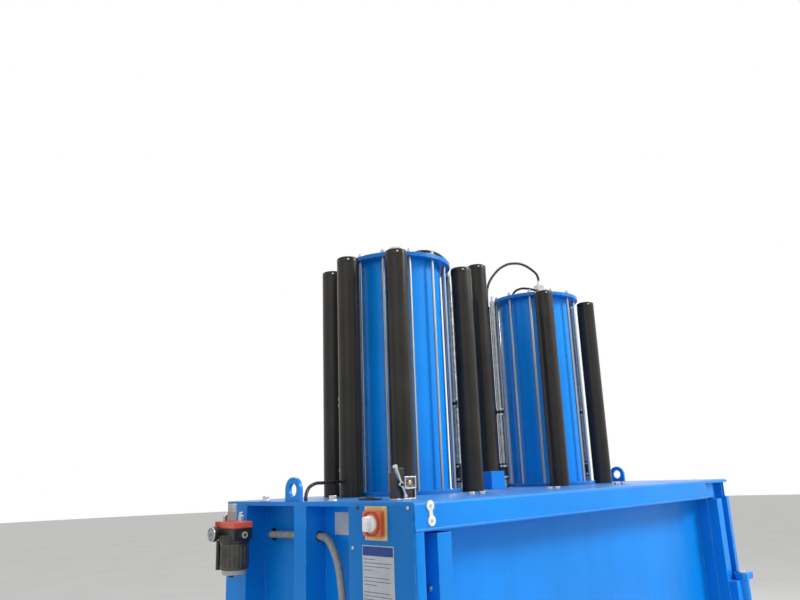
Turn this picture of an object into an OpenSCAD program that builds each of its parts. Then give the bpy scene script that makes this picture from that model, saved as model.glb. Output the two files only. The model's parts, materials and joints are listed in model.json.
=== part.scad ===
// Twin-cylinder vertical recycling baler.
// Millimetres. Front is -Y, right is +X, up is +Z. Origin: floor, middle of the body.
// The press plate hangs from two air cylinders that stand on the deck. Guide rods on
// the press plate run up through bushes in the deck into closed black sleeves.

/* [Body] */
// Width of the body over both side faces
body_w = 1880; // [1700:10:2200]
// Depth of the body, front face to rear face
body_d = 814; // [780:2:960]
// Height of the deck's top above the floor
deck_h = 1600; // [1500:10:1800]
// Height of the front rail folded down from the deck
rail_h = 69; // [55:1:90]
// Thickness of the deck plate
deck_t = 12; // [8:1:16]
// Thickness of folded body sheet
sheet_t = 6; // [4:1:8]
// Height of the base channels
base_h = 100; // [80:5:140]
// Depth of the ribs outside the chamber's side skins
rib_d = 70; // [50:2:90]
// Thickness of the chamber's skins
skin_t = 8; // [6:1:12]

/* [Front] */
// Width of the post's front strip
strip_w = 29; // [22:1:40]
// Outside of the door's stile, from the body's side face
stile_x = 76; // [72:1:90]
// Width of the door's stile
stile_w = 50; // [40:1:70]
// Depth from the stile's front to the recessed panel
panel_d = 83; // [60:1:90]
// Depth of the doors, front to inner skin
door_d = 141; // [130:1:170]
// Height of the loading door, from the split between the doors to the rail
loading_h = 682; // [560:1:800]
// Height of the loading door's latch stud above the split
loading_latch_up = 311; // [260:1:360]
// Gap round the doors
door_gap = 6; // [3:0.5:10]
// Length of each hinge knuckle
knuckle_l = 130; // [90:5:160]
// Diameter of the hinge pins
hinge_pin_d = 25; // [18:1:32]

/* [Cylinders] */
// Distance of each cylinder from the middle of the body
cyl_x = 430; // [400:5:470]
// Distance of the cylinders in front of the body's rear face
cyl_back = 271; // [267:1:300]
// Outside diameter of the barrels
barrel_d = 312; // [280:2:330]
// Wall of the barrels
barrel_wall = 6; // [4:1:10]
// Diameter of the end flanges
flange_d = 388; // [372:1:390]
// Thickness of the top flange
head_t = 14; // [10:1:20]
// Thickness of the bottom flange
foot_t = 12; // [10:1:20]
// Height of the top flange's face above the deck
cyl_h = 796; // [760:2:850]
// Diameter of the tie rods' circle
tie_pcd = 350; // [340:1:354]
// Diameter of the tie rods
tie_d = 10; // [8:1:14]
// Diameter of the piston rods
rod_d = 60; // [40:2:80]
// Thickness of the pistons
piston_t = 45; // [30:1:60]
// Travel of the press plate
stroke = 690; // [500:5:700]

/* [Guides] */
// Half of the square on which the corner sleeves stand
sleeve_off = 165; // [165:1:168]
// Distance of the side sleeves outside the cylinder's axis
side_off = 234; // [234:1:240]
// Outside diameter of the sleeves
sleeve_d = 74; // [60:1:74]
// Wall of the sleeves
sleeve_wall = 3; // [2:0.5:5]
// Height of the sleeves above the deck
sleeve_h = 783; // [770:1:840]
// Length of the middle sleeve above its box
mid_sleeve_l = 813; // [760:1:860]
// Height of the box under the middle sleeve
mid_box_h = 64; // [50:1:80]
// Distance of the middle sleeve in front of the cylinders' axes
mid_off = 30; // [0:1:34]
// Diameter of the guide rods
guide_d = 40; // [30:1:42]

/* [Chamber] */
// Number of strap channels in floor and press plate
straps = 5; // [3:1:7]
// Width of each strap channel
strap_w = 26; // [20:1:40]
// Height of the floor pads beside the channels
pad_h = 27; // [15:1:40]
// Thickness of the press plate
plate_t = 15; // [10:1:25]
// Height of the ribs on the press plate
plate_rib = 90; // [60:2:100]
// Depth of the raised press plate's underside below the deck's top
plate_drop = 255; // [250:5:340]

/* [Controls] */
// Height of the control box
control_h = 600; // [450:10:700]
// Width of the control cover
control_w = 230; // [200:2:234]
// Diameter of the isolator's knob
knob_d = 46; // [36:1:54]
// Diameter of the filter's bowl
bowl_d = 80; // [60:1:90]
// Diameter of the grey air hoses
hose_d = 20; // [12:1:22]

/* [Hidden] */

$fn = 48;
eps = 0.5;
fit = 0.05;
loose = 0.3;
weld = 3;
hw = body_w / 2;
yf = -body_d / 2;
yr = body_d / 2;
cyl_y = yr - cyl_back;
mid_y = cyl_y - mid_off;
plate_z = deck_h - plate_drop;
deck_z = deck_h - deck_t;
rail_z = deck_h - rail_h;
split_z = rail_z - loading_h;
front_y = yf + door_d + 7;
skin_x = hw - rib_d;
in_x = skin_x - skin_t;
rear_skin = yr - rib_d - skin_t;
rows_x = [-sleeve_off, sleeve_off];
corner_pts = [for (dx = rows_x) for (dy = rows_x) [dx, dy]];
bore_d = barrel_d - 2 * barrel_wall;
head_top = deck_h + cyl_h;
head_z = head_top - head_t;
foot_top = deck_h + foot_t;
piston_top = head_z - 5;
piston_z = piston_top - piston_t;
plate_top = plate_z + pad_h / 2 + plate_t;
seat_z = plate_top + plate_rib;
pipe_r = flange_d / 2 + 20;
pipe_d = 26;
pipe_az = -20;
blue = [0.06, 0.40, 0.80];
dark = [0.14, 0.13, 0.13];
zinc = [0.78, 0.80, 0.80];

// A box between two corners
module block(lo, hi) {
  translate(lo) cube(hi - lo);
}

// A ring or disc standing on z
module ring(d, h, bore = 0) {
  difference() {
    cylinder(d = d, h = h);
    if (bore > 0) translate([0, 0, -1]) cylinder(d = bore, h = h + 2);
  }
}

// A channel along +Z: web on the Y axis, flanges towards +X
module channel(w, d, t, len) {
  linear_extrude(len) polygon([[0, 0], [d, 0], [d, t], [t, t], [t, w - t], [d, w - t], [d, w], [0, w]]);
}

// Left or right copy of what is drawn on the left
module on_side(side) {
  if (side > 0) mirror([1, 0, 0]) children();
  else children();
}

// Sweep a round tube along points, as one closed polyhedron
function unit(v) = v / norm(v);
function dir_at(p, i) = unit(p[min(i + 1, len(p) - 1)] - p[max(i - 1, 0)]);
module tube_along(p, d, across, sides = 10) {
  n = len(p);
  pts = [for (i = [0 : n - 1])
    let (t = dir_at(p, i), u = unit(cross(t, across)), v = cross(u, t))
    for (k = [0 : sides - 1]) p[i] + d / 2 * (cos(360 * k / sides) * u + sin(360 * k / sides) * v)];
  walls = [for (i = [0 : n - 2]) for (k = [0 : sides - 1])
    [i * sides + k, i * sides + (k + 1) % sides, (i + 1) * sides + (k + 1) % sides, (i + 1) * sides + k]];
  start = [[for (k = [sides - 1 : -1 : 0]) k]];
  stop = [[for (k = [0 : sides - 1]) (n - 1) * sides + k]];
  polyhedron(pts, concat(walls, start, stop), convexity = 6);
}

// Points of a smooth curve through chosen points, with straight ends
function spline(p, steps) = [for (i = [0 : len(p) - 2]) for (k = [0 : steps - 1])
  let (t = k / steps, a = p[max(i - 1, 0)], b = p[i], c = p[i + 1], d = p[min(i + 2, len(p) - 1)])
  0.5 * (2 * b + (c - a) * t + (2 * a - 5 * b + 4 * c - d) * t * t + (3 * b - a - 3 * c + d) * t * t * t)];
function route(p, steps) = let (n = len(p))
  concat([p[0]], spline([for (i = [1 : n - 2]) p[i]], steps), [p[n - 2], p[n - 1]]);

// Base: channels round the edge, a square tube down the middle, anchor plates
anchor_x = hw - 110;
anchor_y = yr + 36;
anchor_hole = 18;
anchor_t = 12;
anchor_w = 120;
module base_frame() color(blue) {
  rail_w = 60;
  for (side = [-1, 1]) on_side(side)
    translate([-hw, yf, 0]) rotate([90, 0, 0]) mirror([0, 0, 1]) channel(base_h, rail_w, 8, body_d);
  for (y = [yf, yr - 8]) block([-hw + rail_w, y, 0], [hw - rail_w, y + 8, base_h]);
  for (y = [yf + 8, yr - 58]) block([-hw + rail_w, y, base_h - 8], [hw - rail_w, y + 50, base_h]);
  difference() {
    block([-50, yf + 8, 0], [50, yr - 8, base_h - 8]);
    block([-42, yf, 8], [42, yr, base_h - 16]);
  }
  for (sx = [-1, 1]) for (sy = [-1, 1]) difference() {
    block([sx * anchor_x - anchor_w / 2, sy > 0 ? yr : yf - 70, 0],
      [sx * anchor_x + anchor_w / 2, sy > 0 ? yr + 70 : yf, anchor_t]);
    translate([sx * anchor_x, sy * anchor_y, -1]) cylinder(d = anchor_hole, h = anchor_t + 2);
  }
}

// Floor: a plate with raised pads that leave the strap channels between them
floor_t = 10;
pad_pitch = (2 * in_x + strap_w) / (straps + 1);
pad_w = pad_pitch - strap_w;
module pads(y0, y1, z0, h, inset) {
  for (i = [0 : straps]) {
    x = -in_x + i * pad_pitch;
    block([x + (i == 0 ? inset : 0), y0, z0], [x + pad_w - (i == straps ? inset : 0), y1, z0 + h]);
  }
}
module chamber_floor() color([0.45, 0.46, 0.47]) {
  block([-in_x, front_y, base_h], [in_x, rear_skin, base_h + floor_t]);
  pads(front_y, rear_skin, base_h + floor_t, pad_h, 0);
}

// Side wall: skin, two folded ribs, the rear corner post and a front column
rib_a = [415, 469];
rear_post = [706, 814];
column = [150, 234];
module side_rib(y0, y1, z0, z1) {
  translate([-hw, y0, z0]) difference() {
    cube([rib_d, y1 - y0, z1 - z0]);
    translate([sheet_t, sheet_t, -1]) cube([rib_d, y1 - y0 - 2 * sheet_t, z1 - z0 + 2]);
  }
}
module side_wall(column_top) color(blue) {
  block([-skin_x, front_y, base_h], [-in_x, rear_skin + skin_t, deck_z]);
  side_rib(yf + rib_a[0], yf + rib_a[1], base_h, deck_z);
  side_rib(yr - (rear_post[1] - rear_post[0]), yr, base_h, deck_z);
  side_rib(yf + column[0], yf + column[1], base_h, column_top);
  for (z = [base_h, base_h + 480]) for (b = [[column[1], rib_a[0]], [rib_a[1], body_d - 108]])
    block([-hw + 12, yf + b[0], z], [-skin_x, yf + b[1], z + 50]);
}
module left_wall() difference() {
  side_wall(control_z - 1);
  for (q = [hose_start - [0, 6, 0], hose_end]) color(blue) translate([-skin_x - 1, q[1], q[2]]) rotate([0, 90, 0])
    cylinder(d = hose_d + 16, h = skin_t + 2);
  color(blue) translate([hose_x, yf + rib_a[0] - 1, hose_z]) rotate([-90, 0, 0])
    cylinder(d = hose_d + 8, h = rib_a[1] - rib_a[0] + 2);
}
module right_wall() on_side(1) side_wall(deck_z);

// Rear wall: skin, and hat ribs with cross strips between them
hats = 5;
hat_w = 70;
hat_pitch = 0.348 * in_x;
strip_reach = 50;
module rear_wall() color(blue) block([-in_x, rear_skin, base_h], [in_x, rear_skin + skin_t, deck_z]);
module rear_ribs() color(blue) {
  rib_h = deck_z - base_h;
  back = rear_skin + skin_t;
  for (i = [0 : hats - 1]) translate([(i - (hats - 1) / 2) * hat_pitch, back, base_h]) difference() {
    translate([-hat_w / 2, 0, 0]) cube([hat_w, rib_d, rib_h]);
    translate([-hat_w / 2 + sheet_t, -1, -1]) cube([hat_w - 2 * sheet_t, rib_d - sheet_t + 1, rib_h + 2]);
  }
  for (part = [1, 2]) for (i = [0 : hats - 2])
    translate([(i - (hats - 1) / 2) * hat_pitch + hat_w / 2 - weld, back, base_h + part * rib_h / 3])
      cube([hat_pitch - hat_w + 2 * weld, strip_reach, sheet_t]);
}

// Deck: one folded sheet with the front rail, its hem and the set-back right end
rail_t = 8;
rail_end = 217;
hem_r = 4;
module top_deck() color(blue) {
  fold_r = 10;
  difference() {
    union() {
      block([-hw, yf + fold_r, deck_z], [hw, yr, deck_h]);
      translate([-hw, yf + fold_r, deck_h - fold_r]) intersection() {
        rotate([0, 90, 0]) cylinder(r = fold_r, h = body_w);
        block([0, -fold_r, -2], [body_w, 0, fold_r]);
      }
      block([-hw, yf, rail_z + hem_r], [hw - rail_end, yf + rail_t, deck_h - fold_r]);
      block([-hw, yf + rail_t - 2, deck_z - 6], [hw - rail_end, yf + fold_r + 4, deck_z]);
      block([hw - rail_end, yf + 18, rail_z], [hw - 108, yf + 26, deck_z]);
      block([hw - rail_end - rail_t, yf, rail_z + hem_r], [hw - rail_end, yf + 26, deck_z]);
      translate([-hw, yf + hem_r - 2, rail_z + hem_r]) rotate([0, 90, 0])
        cylinder(r = hem_r, h = body_w - rail_end);
    }
    for (s = [-1, 1]) translate([s * cyl_x, cyl_y, deck_z - 1]) {
      cylinder(d = gland_d + 1, h = deck_t + 2);
      for (p = corner_pts) translate([p[0], p[1], 0]) cylinder(d = bush_d + 0.6, h = deck_t + 2);
      translate([s * side_off, 0, 0]) cylinder(d = bush_d + 0.6, h = deck_t + 2);
    }
    translate([0, mid_y, deck_z - 1]) cylinder(d = bush_d + 0.6, h = deck_t + 2);
  }
}

// Beams under the deck that carry the cylinders' pull
beam_h = 86;
beam_w = 62;
module deck_beams() color(blue) {
  for (y = [cyl_y - 60 - beam_w, cyl_y + 50, front_y + 54]) translate([-in_x, y, deck_z - beam_h]) difference() {
    cube([2 * in_x, beam_w, beam_h]);
    translate([-1, sheet_t, -1]) cube([2 * in_x + 2, beam_w - 2 * sheet_t, beam_h - sheet_t + 1]);
  }
}

// Corner post: folded strip, recess and inner leg, with the latch slot on the left
post_in = stile_x - 10;
recess_d = 42;
post_back = front_y - yf;
module post_profile(front_cut) {
  t = sheet_t;
  difference() {
    polygon([[0, post_back], [0, 5], [1.5, 1.5], [5, 0], [strip_w, 0], [strip_w, recess_d],
      [post_in, recess_d], [post_in, post_back], [post_in - t, post_back], [post_in - t, recess_d + t],
      [strip_w - t, recess_d + t], [strip_w - t, t], [t, t], [t, post_back]]);
    if (front_cut > 0) translate([-1, -1]) square([post_in + 2, front_cut + 1]);
  }
}
module post_sheet() {
  translate([-hw, yf, base_h]) linear_extrude(rail_z - base_h) post_profile(0);
  translate([-hw, yf, rail_z]) linear_extrude(deck_z - rail_z) post_profile(15);
  for (z = [base_h + 20, split_z, rail_z - 80])
    block([-hw + sheet_t, yf + recess_d + sheet_t, z], [-hw + post_in - sheet_t, yf + recess_d + 60, z + sheet_t]);
}
module left_corner_post() color(blue) difference() {
  post_sheet();
  block([-hw + strip_w + 5, yf + recess_d - 1, split_z + 40], [-hw + strip_w + 15, yf + recess_d + sheet_t + 1, rail_z - 46]);
  block([-hw + strip_w + 5, yf + recess_d - 1, base_h + 200], [-hw + strip_w + 15, yf + recess_d + sheet_t + 1, split_z - 60]);
}

// Hinges: lugs on the right post, knuckles on the doors, pins through both
hinge_x = hw - 58;
hinge_y = yf - 26;
lug_t = 25;
lug_reach = 26;
hinge_inset = 23;
loading_hinges = [rail_z - 317 - knuckle_l, split_z + hinge_inset + lug_t];
bale_hinges = [split_z - hinge_inset - lug_t - knuckle_l - 11, base_h + 100];
all_hinges = concat(loading_hinges, bale_hinges);
module hinge_lug(z) {
  difference() {
    translate([0, 0, z]) linear_extrude(lug_t) polygon([[hinge_x - lug_reach, hinge_y - 14],
      [hinge_x - 14, hinge_y - lug_reach], [hw - 6, hinge_y - lug_reach], [hw, hinge_y - 20], [hw, yf + weld],
      [hw - strip_w, yf + weld], [hinge_x - 12, yf - 1], [hinge_x - lug_reach, hinge_y + 14]]);
    translate([hinge_x, hinge_y, z - 1]) cylinder(d = hinge_pin_d + 2 * fit, h = lug_t + 2);
  }
}
module right_corner_post() color(blue) {
  on_side(1) post_sheet();
  for (z = all_hinges) {
    hinge_lug(z - lug_t - loose);
    hinge_lug(z + knuckle_l + loose);
  }
}
module hinge_pins() color(zinc) {
  for (z = all_hinges) translate([hinge_x, hinge_y, z - lug_t - loose]) {
    cylinder(d = hinge_pin_d, h = knuckle_l + 2 * lug_t + 2 * loose);
    translate([0, 0, knuckle_l + 2 * lug_t + 2 * loose]) cylinder(d = hinge_pin_d + 10, h = 6);
  }
}

// Doors: hat-section stiles, a tray panel set back between them, ribs and an inner skin
door_front = yf + 2;
door_back = door_front + door_d;
door_x = hw - stile_x;
lip = 38;
module door_stile(z0, z1) {
  t = sheet_t;
  translate([-door_x, door_front, z0]) linear_extrude(z1 - z0) polygon([[0, 0], [stile_w, 0],
    [stile_w, lip], [stile_w + 8, lip], [stile_w + 8, panel_d + 4], [stile_w + 4, panel_d + 4],
    [stile_w + 4, lip + 4], [stile_w - t, lip + 4], [stile_w - t, t], [t, t], [t, door_d], [0, door_d]]);
}
module door_leaf(z0, z1, rail, ribs) {
  door_stile(z0, z1);
  mirror([1, 0, 0]) door_stile(z0, z1);
  px = door_x - stile_w - 8;
  block([-px, door_front + panel_d, z0], [px, door_front + panel_d + 4, z1]);
  block([-door_x, door_back - 4, z0], [door_x, door_back, z1]);
  ix = door_x - sheet_t;
  for (z = [z0, z1 - 4]) block([-ix, door_front + panel_d + 4, z], [ix, door_back - 4, z + 4]);
  for (i = [1 : ribs]) {
    z = z0 + i * (z1 - z0) / (ribs + 1);
    block([-ix, door_front + panel_d + 4, z - 3], [ix, door_back - 4, z + 3]);
  }
  bx = door_x - stile_w;
  difference() {
    block([-bx, door_front, z0], [bx, door_front + panel_d, z0 + rail]);
    block([-bx - 1, door_front + sheet_t, z0 + sheet_t], [bx + 1, door_front + panel_d + 1, z0 + rail - sheet_t]);
  }
}
module door_knuckle(z) {
  difference() {
    union() {
      translate([hinge_x, hinge_y, z]) cylinder(d = 50, h = knuckle_l);
      block([door_x - stile_w + 3, hinge_y - 4, z], [hinge_x - 8, door_front + weld, z + knuckle_l]);
    }
    translate([hinge_x, hinge_y, z - 1]) cylinder(d = hinge_pin_d + 2 * fit, h = knuckle_l + 2);
  }
}
latch_x = -door_x + stile_w / 2;
latch_stud_d = 16;
latch_gap = 5;
latch_t = 10;
module latch_stud(z) {
  translate([latch_x, door_front, z]) rotate([90, 0, 0]) {
    cylinder(d = 30, h = latch_gap - loose);
    cylinder(d = latch_stud_d, h = latch_gap + latch_t + 6);
    translate([0, 0, latch_gap + latch_t + loose]) cylinder(d = 28, h = 6, $fn = 6);
  }
}
loading_latch_z = split_z + loading_latch_up;
bale_latch_z = 485;
loading_z = [split_z + door_gap / 2, rail_z - door_gap];
bale_z = [base_h + door_gap + 18, split_z - door_gap / 2];
module loading_door() color(blue) {
  door_leaf(loading_z[0], loading_z[1], 48, 2);
  for (z = loading_hinges) door_knuckle(z);
  latch_stud(loading_latch_z);
}
module bale_door() color(blue) {
  door_leaf(bale_z[0], bale_z[1], 48, 3);
  for (z = bale_hinges) door_knuckle(z);
  latch_stud(bale_latch_z);
  for (z = [bale_z[0] + 230, bale_z[0] + 460])
    block([-(door_x - stile_w - 8), door_front + 30, z], [door_x - stile_w - 8, door_front + panel_d, z + 50]);
}

// Latch: a lever with a tongue below its stud and a grip above, drawn released
module latch(z) {
  translate([latch_x, door_front - latch_gap, z]) rotate([90, 0, 0]) difference() {
    union() {
      linear_extrude(latch_t) {
        circle(d = 44);
        translate([-12, -82]) square([24, 70]);
        translate([0, -82]) circle(d = 24);
        translate([-11, 15]) square([22, 135]);
        translate([0, 150]) circle(d = 30);
      }
      translate([0, 150, latch_t]) cylinder(d = 24, h = 85);
      translate([0, 150, latch_t + 85]) sphere(d = 30);
    }
    translate([0, 0, -1]) cylinder(d = latch_stud_d + 2 * fit, h = latch_t + 2);
  }
}
module loading_latch() color(dark) latch(loading_latch_z);
module bale_latch() color(dark) latch(bale_latch_z);
module keeper(z) {
  block([-hw + 3, yf - 14, z + 16], [-hw + strip_w - 2, yf, z + 44]);
  block([-hw + 3, yf - 24, z - 22], [-hw + strip_w - 2, yf - 16, z + 44]);
  block([-hw + 3, yf - 16, z + 16], [-hw + strip_w - 2, yf - 14, z + 44]);
}
module latch_keepers() color(blue) {
  keeper(loading_latch_z);
  keeper(bale_latch_z);
}

// Control box in the front side bay, its cover, and the isolator on it
control_z = deck_z - control_h;
cover_t = 2.5;
module control_box() color(blue) difference() {
  block([-hw + 0.5, yf + column[0], control_z], [-skin_x, yf + column[1] - 0.5, deck_z]);
  block([-hw - 1, yf + column[0] + 4, control_z + 4], [-skin_x - 4, yf + column[1] - 4.5, deck_z - 4]);
}
module control_cover() color(blue) {
  translate([-hw, yf + 4, deck_h - 8]) rotate([0, -90, 0]) mirror([1, 0, 0]) linear_extrude(cover_t)
    difference() {
      rounded(control_h, control_w, 12);
      translate([control_h - 40, control_w / 2]) circle(d = 8);
    }
}
module rounded(w, h, r) {
  translate([r, 0]) square([w - 2 * r, h]);
  translate([0, r]) square([w, h - 2 * r]);
  for (x = [r, w - r]) for (y = [r, h - r]) translate([x, y]) circle(r = r);
}
iso_y = yf + 128;
iso_z = deck_h - 50;
iso_face = hw + cover_t;
module isolator_plate() color([0.90, 0.80, 0.55])
  block([-iso_face - 5, iso_y - 39, iso_z - 40], [-iso_face, iso_y + 39, iso_z + 40]);
module isolator_housing() color([0.85, 0.25, 0.12])
  translate([-iso_face - 5, iso_y - 32, iso_z - 30]) rotate([0, -90, 0]) linear_extrude(14) rounded(60, 64, 7);
module isolator_knob() color([0.93, 0.93, 0.92])
  translate([-iso_face - 19 - loose, iso_y, iso_z]) rotate([0, -90, 0]) {
    cylinder(d = knob_d, h = 8);
    translate([0, 0, 8]) intersection() {
      cylinder(d1 = knob_d - 4, d2 = knob_d - 10, h = 16, $fn = 48);
      translate([-knob_d / 2, -10, 0]) cube([knob_d, 20, 16]);
    }
  }

// Cylinders: barrel, end flanges, twelve tie rods, piston and rod
gland_d = 90;
module tie_holes(h) {
  for (a = [0 : 30 : 330]) rotate(a) translate([tie_pcd / 2, 0, -1]) cylinder(d = tie_d + 0.8, h = h + 2);
}
module barrel(s) color([0.05, 0.50, 0.95])
  translate([s * cyl_x, cyl_y, foot_top]) ring(barrel_d, head_z - foot_top, bore_d);
module head(s) color(blue) translate([s * cyl_x, cyl_y, head_z]) difference() {
  union() {
    cylinder(d = flange_d, h = head_t);
    translate([0, 0, head_t] + port_at(s)) cylinder(d = 90, h = boss_h);
  }
  tie_holes(head_t);
  translate([0, 0, -1] + port_at(s)) cylinder(d = 25, h = head_t + boss_h + 2);
}
module foot(s) color(blue) translate([s * cyl_x, cyl_y, deck_h]) difference() {
  union() {
    cylinder(d = flange_d, h = foot_t);
    translate([0, 0, -deck_t - 20]) cylinder(d = gland_d, h = deck_t + 20);
  }
  tie_holes(foot_t);
  translate([0, 0, -deck_t - 21]) cylinder(d = rod_d + 2 * fit, h = deck_t + foot_t + 22);
}
module tie_rods(s) color(zinc) translate([s * cyl_x, cyl_y, 0])
  for (a = [0 : 30 : 330]) rotate(a) translate([tie_pcd / 2, 0, 0]) {
    translate([0, 0, deck_h]) cylinder(d = tie_d, h = cyl_h + 16);
    translate([0, 0, head_top]) difference() {
      cylinder(d = tie_d * 1.75, h = 10, $fn = 6);
      translate([0, 0, -1]) cylinder(d = tie_d + 0.4, h = 12);
    }
  }
module piston_rod(s) color(zinc) translate([s * cyl_x, cyl_y, 0]) {
  difference() {
    translate([0, 0, piston_z]) cylinder(d = bore_d - 2 * fit, h = piston_t);
    for (z = [8, 32]) translate([0, 0, piston_z + z]) ring(bore_d + 2, 5, bore_d - 8);
  }
  translate([0, 0, seat_z + 16]) cylinder(d = rod_d, h = piston_z - seat_z - 16 + eps);
  translate([0, 0, seat_z]) cylinder(d = 130, h = 16);
  for (a = [45 : 90 : 315]) rotate(a) translate([50, 0, seat_z + 16]) cylinder(d = 19, h = 9, $fn = 6);
}
module barrel_left() barrel(-1);
module barrel_right() barrel(1);
module head_left() head(-1);
module head_right() head(1);
module foot_left() foot(-1);
module foot_right() foot(1);
module tie_rods_left() tie_rods(-1);
module tie_rods_right() tie_rods(1);
module piston_rod_left() piston_rod(-1);
module piston_rod_right() piston_rod(1);

// Sleeves: closed tubes over the guide rods
bush_d = guide_d + 15;
bush_lip = 8;
module sleeve(h) rotate_extrude() {
  r = sleeve_d / 2;
  q = 5;
  difference() {
    union() {
      square([r, h - q]);
      square([r - q, h]);
      translate([r - q, h - q]) circle(r = q);
    }
    translate([-1, -1]) square([r - sleeve_wall + 1, h - 4]);
    translate([-r, -1]) square([r, h + 2]);
  }
}
module sleeves(s) color(dark) translate([s * cyl_x, cyl_y, deck_h])
  for (p = corner_pts) translate([p[0], p[1], 0]) sleeve(sleeve_h);
module sleeves_left() sleeves(-1);
module sleeves_right() sleeves(1);
module side_sleeves() color(dark)
  for (s = [-1, 1]) translate([s * (cyl_x + side_off), cyl_y, deck_h]) sleeve(sleeve_h);
module middle_sleeve() color(dark) translate([0, mid_y, deck_h + mid_box_h]) sleeve(mid_sleeve_l);
mid_half = sleeve_d / 2 + 3;
module middle_box() color(blue) translate([0, mid_y, deck_h]) difference() {
  block([-mid_half, -mid_half, 0], [mid_half, mid_half, mid_box_h]);
  block([-mid_half + 6, -mid_half + 6, -1], [mid_half - 6, mid_half - 6, mid_box_h - 6]);
  translate([0, 0, mid_box_h - 8]) cylinder(d = guide_d + 12, h = 10);
}

// Guide rods on the press plate, and their bushes in the deck
guide_pts = concat(
  [for (s = [-1, 1]) for (p = corner_pts) [s * cyl_x + p[0], cyl_y + p[1]]],
  [for (s = [-1, 1]) [s * (cyl_x + side_off), cyl_y]], [[0, mid_y]]);
rod_reserve = 73;
guide_top = deck_h + stroke + rod_reserve;
module guide_rods() color(zinc) for (p = guide_pts) translate([p[0], p[1], 0]) {
  translate([0, 0, plate_top]) cylinder(d = guide_d, h = guide_top - plate_top - 6);
  translate([0, 0, guide_top - 6]) cylinder(d1 = guide_d, d2 = guide_d - 12, h = 6, $fn = 48);
}
module guide_bushes() color([0.75, 0.62, 0.30]) for (p = guide_pts) translate([p[0], p[1], deck_z]) {
  difference() {
    union() {
      cylinder(d = bush_d, h = deck_t + bush_lip);
      translate([0, 0, deck_t]) cylinder(d = sleeve_d - 2 * sleeve_wall - 2, h = bush_lip);
    }
    translate([0, 0, -1]) cylinder(d = guide_d + 2 * fit, h = deck_t + bush_lip + 2);
  }
}

// Press plate: grooved underside, welded channels on top, seats for the rods
plate_x = in_x - 6;
plate_y = [front_y + 6, rear_skin - 6];
module press_plate() color([0.30, 0.33, 0.36]) {
  z0 = plate_z + pad_h / 2;
  block([-plate_x, plate_y[0], z0], [plate_x, plate_y[1], z0 + plate_t]);
  pads(plate_y[0], plate_y[1], plate_z, pad_h / 2, 6);
  for (y = [plate_y[0], cyl_y - 92, cyl_y + 72]) difference() {
    block([-plate_x, y, plate_top], [plate_x, y + 20, seat_z - 10]);
    for (x = [-600 : 300 : 600]) translate([x, y - 1, plate_top + 40]) rotate([-90, 0, 0]) cylinder(d = 40, h = 22);
  }
  for (s = [-1, 1]) {
    block([s * cyl_x - 90, cyl_y - 72, plate_top], [s * cyl_x - 74, cyl_y + 72, seat_z - 14]);
    block([s * cyl_x + 74, cyl_y - 72, plate_top], [s * cyl_x + 90, cyl_y + 72, seat_z - 14]);
    block([s * cyl_x - 90, cyl_y - 72, seat_z - 14], [s * cyl_x + 90, cyl_y + 72, seat_z]);
    block([s * plate_x - (s > 0 ? 12 : 0), plate_y[0] + 20, plate_top],
      [s * plate_x + (s < 0 ? 12 : 0), plate_y[1], plate_top + 60]);
  }
}

// Air pipes beside the barrels, with rubber connectors, and blocks over the ports
connector = [30, 94];
joint_z = [290, 318];
pipe_top = cyl_h - 14;
module at_pipes(s) translate([s * cyl_x, cyl_y, deck_h])
  for (a = [pipe_az, pipe_az + 180]) rotate(a) translate([pipe_r, 0, 0]) children();
module pipe_stack() {
  cylinder(d = pipe_d + 4, h = connector[0]);
  translate([0, 0, connector[1]]) cylinder(d = pipe_d, h = joint_z[0] - connector[1]);
  translate([0, 0, joint_z[1]]) cylinder(d = pipe_d, h = pipe_top - joint_z[1]);
}
module air_pipes_left() color([0.80, 0.80, 0.78]) at_pipes(-1) pipe_stack();
module air_pipes_right() color([0.80, 0.80, 0.78]) at_pipes(1) pipe_stack();
module pipe_connectors() color(dark) for (s = [-1, 1]) at_pipes(s) {
  for (z = [connector, joint_z]) translate([0, 0, z[0]]) cylinder(d = pipe_d + 6, h = z[1] - z[0]);
}

// Port blocks on the heads, their fittings and the hoses between them
boss_h = 8;
block_h = 66;
function port_at(s) = s > 0 ? [24, -24, 0] : [0, 0, 0];
port_d = 54;
port_flat = port_d / 2 * cos(30);
fitting_h = 24;
fan_dir = [cos(-45), sin(-45)];
pipe_pt = pipe_r * [cos(pipe_az), sin(pipe_az)];
low_port = [-45, 75];
module cap_fitting(h) {
  cylinder(d = 22, h = h / 2, $fn = 6);
  translate([0, 0, h / 2]) cylinder(d = 15, h = h / 2);
}
module cap_fittings() color(zinc) {
  for (s = [-1, 1]) translate([s * cyl_x, cyl_y, head_top + boss_h] + port_at(s)) {
    rotate(30) cylinder(d = port_d, h = block_h, $fn = 6);
    translate([port_d / 2 - 6, 0, block_h - 20]) rotate([0, 90, -45]) cylinder(d = 20, h = 26);
  }
  translate([cyl_x, cyl_y, head_top + boss_h + block_h] + port_at(1)) cap_fitting(fitting_h);
  translate([cyl_x + low_port[0], cyl_y + low_port[1], head_top]) cap_fitting(fitting_h);
  for (s = [-1, 1]) at_pipes(s) translate([0, 0, pipe_top]) cap_fitting(fitting_h);
}
fan = [fan_dir[0], fan_dir[1], 0];
side_port = [port_d / 2 - 6 + (26 + loose) * fan_dir[0], (26 + loose) * fan_dir[1], boss_h + block_h - 20];
pipe_end = [pipe_pt[0], pipe_pt[1], pipe_top + fitting_h - cyl_h + loose];
up = [0, 0, 1];
module cap_hose(s, points, d, across)
  tube_along([for (q = route(points, 5)) q + [s * cyl_x, cyl_y, head_top]], d, across);
loop_a = port_at(1) + [0, 0, boss_h + block_h + fitting_h + loose];
loop_b = [-pipe_pt[0] - 16, -pipe_pt[1] + 16, loose - cyl_h];
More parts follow.
